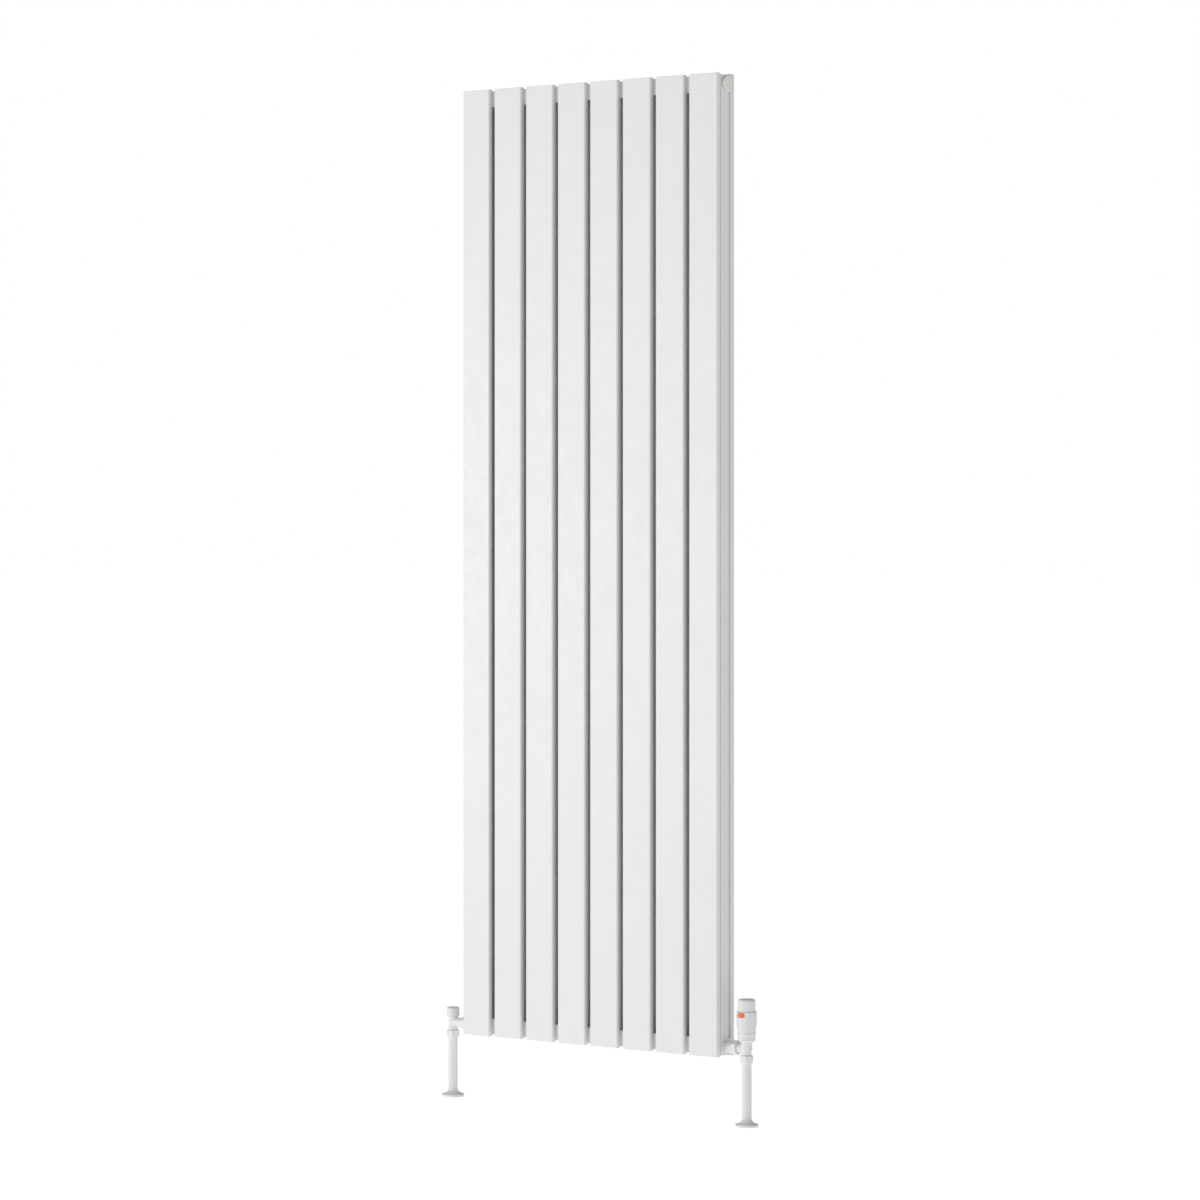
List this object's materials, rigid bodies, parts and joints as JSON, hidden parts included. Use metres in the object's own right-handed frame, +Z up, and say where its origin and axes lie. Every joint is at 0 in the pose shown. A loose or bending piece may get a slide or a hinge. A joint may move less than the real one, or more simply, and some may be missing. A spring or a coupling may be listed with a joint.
{
  "type": "radiator with valve",
  "caption": "Tall white double radiator of flat vertical tubes, hung from wall brackets, with a thermostatic valve, a lockshield valve, pipe sleeves and floor rosettes.",
  "frame": {"origin": "centre of the four wall fixings, on the wall's surface, level with the middle of the radiator", "axes": "+X along the radiator to the thermostatic valve, +Y into the wall, +Z up"},
  "size_m": [0.741, 0.089, 1.955],
  "materials": {
    "radiator_paint": "satin white powder coat",
    "bracket_paint": "white powder coat",
    "valve_paint": "gloss white",
    "white_plastic": "semi-gloss moulded",
    "cover_plastic": "matt moulded, warm pale grey",
    "badge_plastic": "gloss orange",
    "brass": "turned",
    "copper": "drawn copper tube",
    "plated_steel": "zinc plated",
    "spring_steel": "drawn wire",
    "sensor_metal": "drawn can",
    "seal_rubber": "moulded"
  },
  "bodies": {
    "radiator": {"front_tube_1": "radiator_paint", "front_tube_2": "radiator_paint", "front_tube_3": "radiator_paint", "front_tube_4": "radiator_paint", "front_tube_5": "radiator_paint", "front_tube_6": "radiator_paint", "front_tube_7": "radiator_paint", "front_tube_8": "radiator_paint", "rear_tube_1": "radiator_paint", "rear_tube_2": "radiator_paint", "rear_tube_3": "radiator_paint", "rear_tube_4": "radiator_paint", "rear_tube_5": "radiator_paint", "rear_tube_6": "radiator_paint", "rear_tube_7": "radiator_paint", "rear_tube_8": "radiator_paint", "top_header": "radiator_paint", "bottom_header": "radiator_paint", "side_strip_left": "radiator_paint", "side_strip_right": "radiator_paint", "hanger_lugs": "radiator_paint", "wall_bracket_upper_left": "bracket_paint", "wall_bracket_upper_right": "bracket_paint", "wall_bracket_lower_left": "bracket_paint", "wall_bracket_lower_right": "bracket_paint", "blanking_plug": "plated_steel", "blanking_plug_cover": "cover_plastic", "air_vent_plug": "valve_paint", "trv_valve_body": "valve_paint", "trv_tailpiece": "valve_paint", "trv_union_nut": "valve_paint", "trv_compression_nut": "valve_paint", "lockshield_body": "valve_paint", "lockshield_tailpiece": "valve_paint", "lockshield_union_nut": "valve_paint", "lockshield_compression_nut": "valve_paint", "supply_pipe_sleeve": "valve_paint", "return_pipe_sleeve": "valve_paint", "trv_ring_nut": "white_plastic", "trv_head_base": "white_plastic", "trv_gland_insert": "brass", "lockshield_gland_nut": "brass", "compression_olives": "brass", "trv_return_spring": "spring_steel", "trv_overload_spring": "spring_steel", "supply_pipe": "copper", "return_pipe": "copper"},
    "trv_handwheel": {"trv_handwheel": "white_plastic", "trv_end_cap": "white_plastic", "trv_badge": "badge_plastic"},
    "trv_stem": {"trv_sensor": "sensor_metal", "trv_pin": "plated_steel", "trv_valve_disc": "seal_rubber"},
    "lockshield_cap": {"lockshield_cap": "white_plastic"},
    "lockshield_spindle": {"lockshield_spindle": "brass"},
    "lockshield_jumper": {"lockshield_jumper": "brass"},
    "bleed_screw": {"bleed_screw": "brass"},
    "supply_rosette": {"supply_rosette": "white_plastic"},
    "return_rosette": {"return_rosette": "white_plastic"}
  },
  "joints": [
    {"name": "trv_handwheel_turn", "type": "hinge", "parent": "radiator", "child": "trv_handwheel", "pos_m": [0.349, -0.062, -0.83], "axis": [0, 0, 1], "range_deg": [-180, 120]},
    {"name": "trv_stem_lift", "type": "slide", "parent": "radiator", "child": "trv_stem", "axis": [0, 0, 1], "range_m": [-0.0012, 0.0008], "deforming": ["trv_return_spring", "trv_overload_spring"]},
    {"name": "lockshield_cap_lift", "type": "slide", "parent": "radiator", "child": "lockshield_cap", "axis": [0, 0, 1], "range_m": [0, 0.03]},
    {"name": "lockshield_spindle_turn", "type": "hinge", "parent": "radiator", "child": "lockshield_spindle", "pos_m": [-0.349, -0.062, -0.87], "axis": [0, 0, 1], "range_deg": [-530, 530]},
    {"name": "lockshield_jumper_lift", "type": "slide", "parent": "radiator", "child": "lockshield_jumper", "axis": [0, 0, 1], "range_m": [-0.0029, 0.0029]},
    {"name": "bleed_screw_turn", "type": "hinge", "parent": "radiator", "child": "bleed_screw", "pos_m": [-0.306, -0.062, 0.8825], "axis": [-1, 0, 0], "range_deg": [0, 360]},
    {"name": "supply_rosette_lift", "type": "slide", "parent": "radiator", "child": "supply_rosette", "axis": [0, 0, 1], "range_m": [0, 0.08]},
    {"name": "return_rosette_lift", "type": "slide", "parent": "radiator", "child": "return_rosette", "axis": [0, 0, 1], "range_m": [0, 0.08]}
  ],
  "couplings": [
    {"joint": "trv_stem_lift", "follows": "trv_handwheel_turn", "m_per_rad": 0.00038197},
    {"joint": "lockshield_spindle_turn", "follows": "lockshield_jumper_lift", "rad_per_m": 3141.6}
  ]
}
